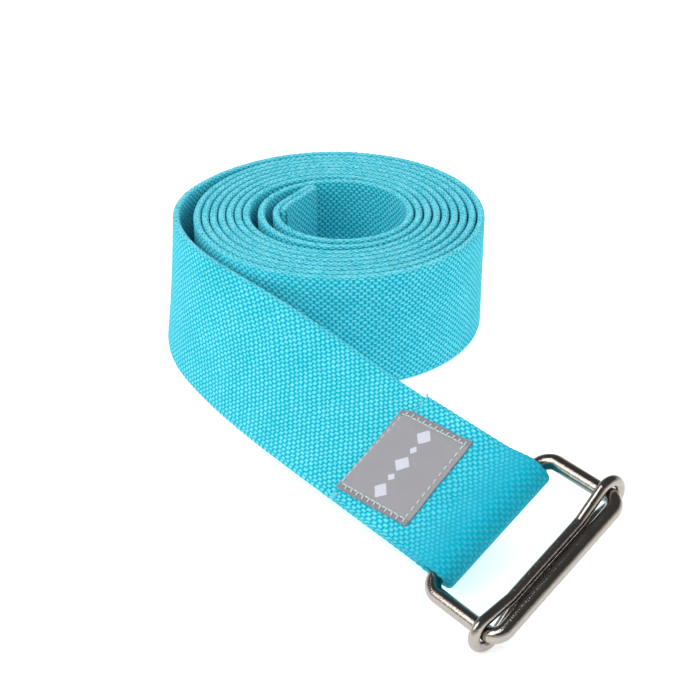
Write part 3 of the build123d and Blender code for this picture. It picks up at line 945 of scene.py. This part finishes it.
class STRAP_OT_buckle(bpy.types.Operator):
    """Bends the buckle's frame and its slider from round wire"""

    bl_idname = "strap.buckle"
    bl_label = "Buckle"

    def execute(self, context):
        buckle = context.scene.strap_buckle
        metal = nickel_plating(buckle)
        width, length = buckle.width, buckle.length
        rear, outer = buckle.rear_corner, buckle.outer_corner
        right_angle = math.pi / 2
        frame_moves = [
            (length / 2 - outer, 0), (outer, right_angle), (width - 2 * outer, 0), (outer, right_angle),
            (length - outer - rear, 0), (rear, right_angle), (width - 2 * rear, 0), (rear, right_angle),
            (length / 2 - rear, 0),
        ]
        start = BAR + ALONG * (length / 2) - ACROSS * (width / 2)
        placed = placed_at(start, ALONG, ACROSS)
        ring = bent_wire("buckle_wire_frame", buckle.wire, frame_moves, placed, metal)
        belongs(ring, "buckle_frame", "buckle_wire", "buckle_frame")

        pinch = buckle.slider_wire / 2 + buckle.pinch_gap / 2
        eye = buckle.wire / 2 + buckle.clearance + buckle.slider_wire / 2
        flare, bend = buckle.flare_angle, buckle.flare_bend
        joint = Vector((width / 2, 0)) + polar(eye, right_angle + flare)
        foot = joint.x - (joint.y - pinch) / math.tan(flare)
        tangent = bend * math.tan(flare / 2)
        middle = foot - tangent
        ramp = math.hypot(joint.x - foot, joint.y - pinch) - tangent
        half = [(bend, flare), (ramp, 0), (eye, -math.pi - 2 * flare), (ramp, 0), (bend, flare)]
        slider_moves = [(middle, 0), *half, (2 * middle, 0), *half, (middle, 0)]
        rest = buckle.length - buckle.wire / 2 - buckle.slider_wire / 2 - buckle.rest_gap
        start = BAR + ALONG * rest + OUT * pinch
        placed = placed_at(start, ACROSS, OUT)
        grip = bent_wire("slider_wire", buckle.slider_wire, slider_moves, placed, metal)
        belongs(grip, "slider", "buckle_wire", "slider")
        return {"FINISHED"}


# ---- stage ---------------------------------------------------------------------------------------
class STRAP_OT_stage(bpy.types.Operator):
    """Sets the pale floor, the soft lights and the camera"""

    bl_idname = "strap.stage"
    bl_label = "Stage"

    def execute(self, context):
        scene = context.scene
        stage = scene.strap_stage
        bpy.ops.object.select_all(action="DESELECT")
        bpy.ops.mesh.primitive_plane_add(size=40.0, location=(0, 0, -0.02 * MM))
        floor = bpy.context.active_object
        floor.name = "floor"
        floor.data.materials.append(studio_floor(stage))
        self.add_camera(scene, stage)
        # Azimuths are measured from the camera's own: minus is to its left.
        self.add_light("key_left", stage, -68, 42, 0.9, 0.6, 4.0)
        self.add_light("overhead", stage, 10, 80, 1.0, 0.9, 2.6)
        self.add_light("right_fill", stage, 80, 28, 1.0, 0.7, 3.0)
        self.add_light("back_left", stage, -150, 35, 1.0, 0.7, 1.8)
        self.add_world(scene)
        scene.view_settings.view_transform = "Standard"
        return {"FINISHED"}

    def add_camera(self, scene, stage):
        data = bpy.data.cameras.new("camera")
        data.lens, data.sensor_width = stage.lens, 36.0
        data.clip_start, data.clip_end = 0.01, 100.0
        camera = bpy.data.objects.new("camera", data)
        camera.location = stage.camera_place
        camera.rotation_euler = (math.pi / 2 - stage.camera_tilt, 0, stage.camera_turn)
        scene.collection.objects.link(camera)
        scene.camera = camera

    def add_light(self, name, stage, azimuth, elevation, distance, size, power):
        turn = stage.camera_turn + math.radians(azimuth)
        rise = math.radians(elevation)
        level = math.cos(rise)
        back = Vector((math.sin(turn) * level, -math.cos(turn) * level, math.sin(rise)))
        data = bpy.data.lights.new(name, "AREA")
        data.shape, data.size, data.energy = "SQUARE", size, power
        light = bpy.data.objects.new(name, data)
        light.location = back * distance
        light.rotation_euler = (-back).to_track_quat("-Z", "Y").to_euler()
        light.visible_glossy = name == "key_left"  # the wire mirrors this one alone
        bpy.context.scene.collection.objects.link(light)

    def add_world(self, scene):
        world = bpy.data.worlds.new("studio")
        world.use_nodes = True
        world.node_tree.nodes.clear()
        add = node_adder(world.node_tree)
        where = add("TexCoord").node.outputs["Generated"]
        height = add("SeparateXYZ", where).node.outputs[2]
        high = add("MapRange", height, 0.15, 0.5, **SMOOTH)
        # Polished wire mirrors a bright wall and a dark ceiling.
        wall, ceiling, even_light = (1.0, 0.98, 0.95, 1.0), (0.1, 0.1, 0.1, 1.0), (0.68, 0.68, 0.68, 1.0)
        mirrored = add("Mix", {AMOUNT: high, UNDER: wall, OVER: ceiling}, **LAYER)
        glossy = add("LightPath").node.outputs["Is Glossy Ray"]
        tint = add("Mix", {AMOUNT: glossy, UNDER: even_light, OVER: mirrored}, **LAYER)
        light = add("Background", {"Color": tint, "Strength": 0.95})
        add("OutputWorld", {"Surface": light})
        scene.world = world


class STRAP_PT_panel(bpy.types.Panel):
    """Lists the steps that build the strap"""

    bl_idname = "STRAP_PT_panel"
    bl_label = "Stretching strap"
    bl_space_type = "VIEW_3D"
    bl_region_type = "UI"
    bl_category = "Strap"

    def draw(self, context):
        for operator in OPERATORS:
            self.layout.operator(operator.bl_idname)
        for key in SETTINGS:
            group = getattr(context.scene, key)
            box = self.layout.box()
            for prop in group.bl_rna.properties:
                if prop.identifier not in ("rna_type", "name"):
                    box.prop(group, prop.identifier)


OPERATORS = (STRAP_OT_webbing, STRAP_OT_label, STRAP_OT_stitches, STRAP_OT_buckle, STRAP_OT_stage)
SETTINGS = {
    "strap_webbing": WebbingSettings,
    "strap_roll": RollSettings,
    "strap_tail": TailSettings,
    "strap_label": LabelSettings,
    "strap_thread": ThreadSettings,
    "strap_buckle": BuckleSettings,
    "strap_stage": StageSettings,
}


def register():
    for group in SETTINGS.values():
        bpy.utils.register_class(group)
    for key, group in SETTINGS.items():
        setattr(bpy.types.Scene, key, bpy.props.PointerProperty(type=group))
    for made in (*OPERATORS, STRAP_PT_panel):
        bpy.utils.register_class(made)


def unregister():
    for made in (STRAP_PT_panel, *reversed(OPERATORS)):
        bpy.utils.unregister_class(made)
    for key, group in SETTINGS.items():
        delattr(bpy.types.Scene, key)
        bpy.utils.unregister_class(group)


def main():
    register()
    bpy.ops.strap.webbing()
    bpy.ops.strap.label()
    bpy.ops.strap.stitches()
    bpy.ops.strap.buckle()
    bpy.ops.strap.stage()


if __name__ == "__main__":
    main()
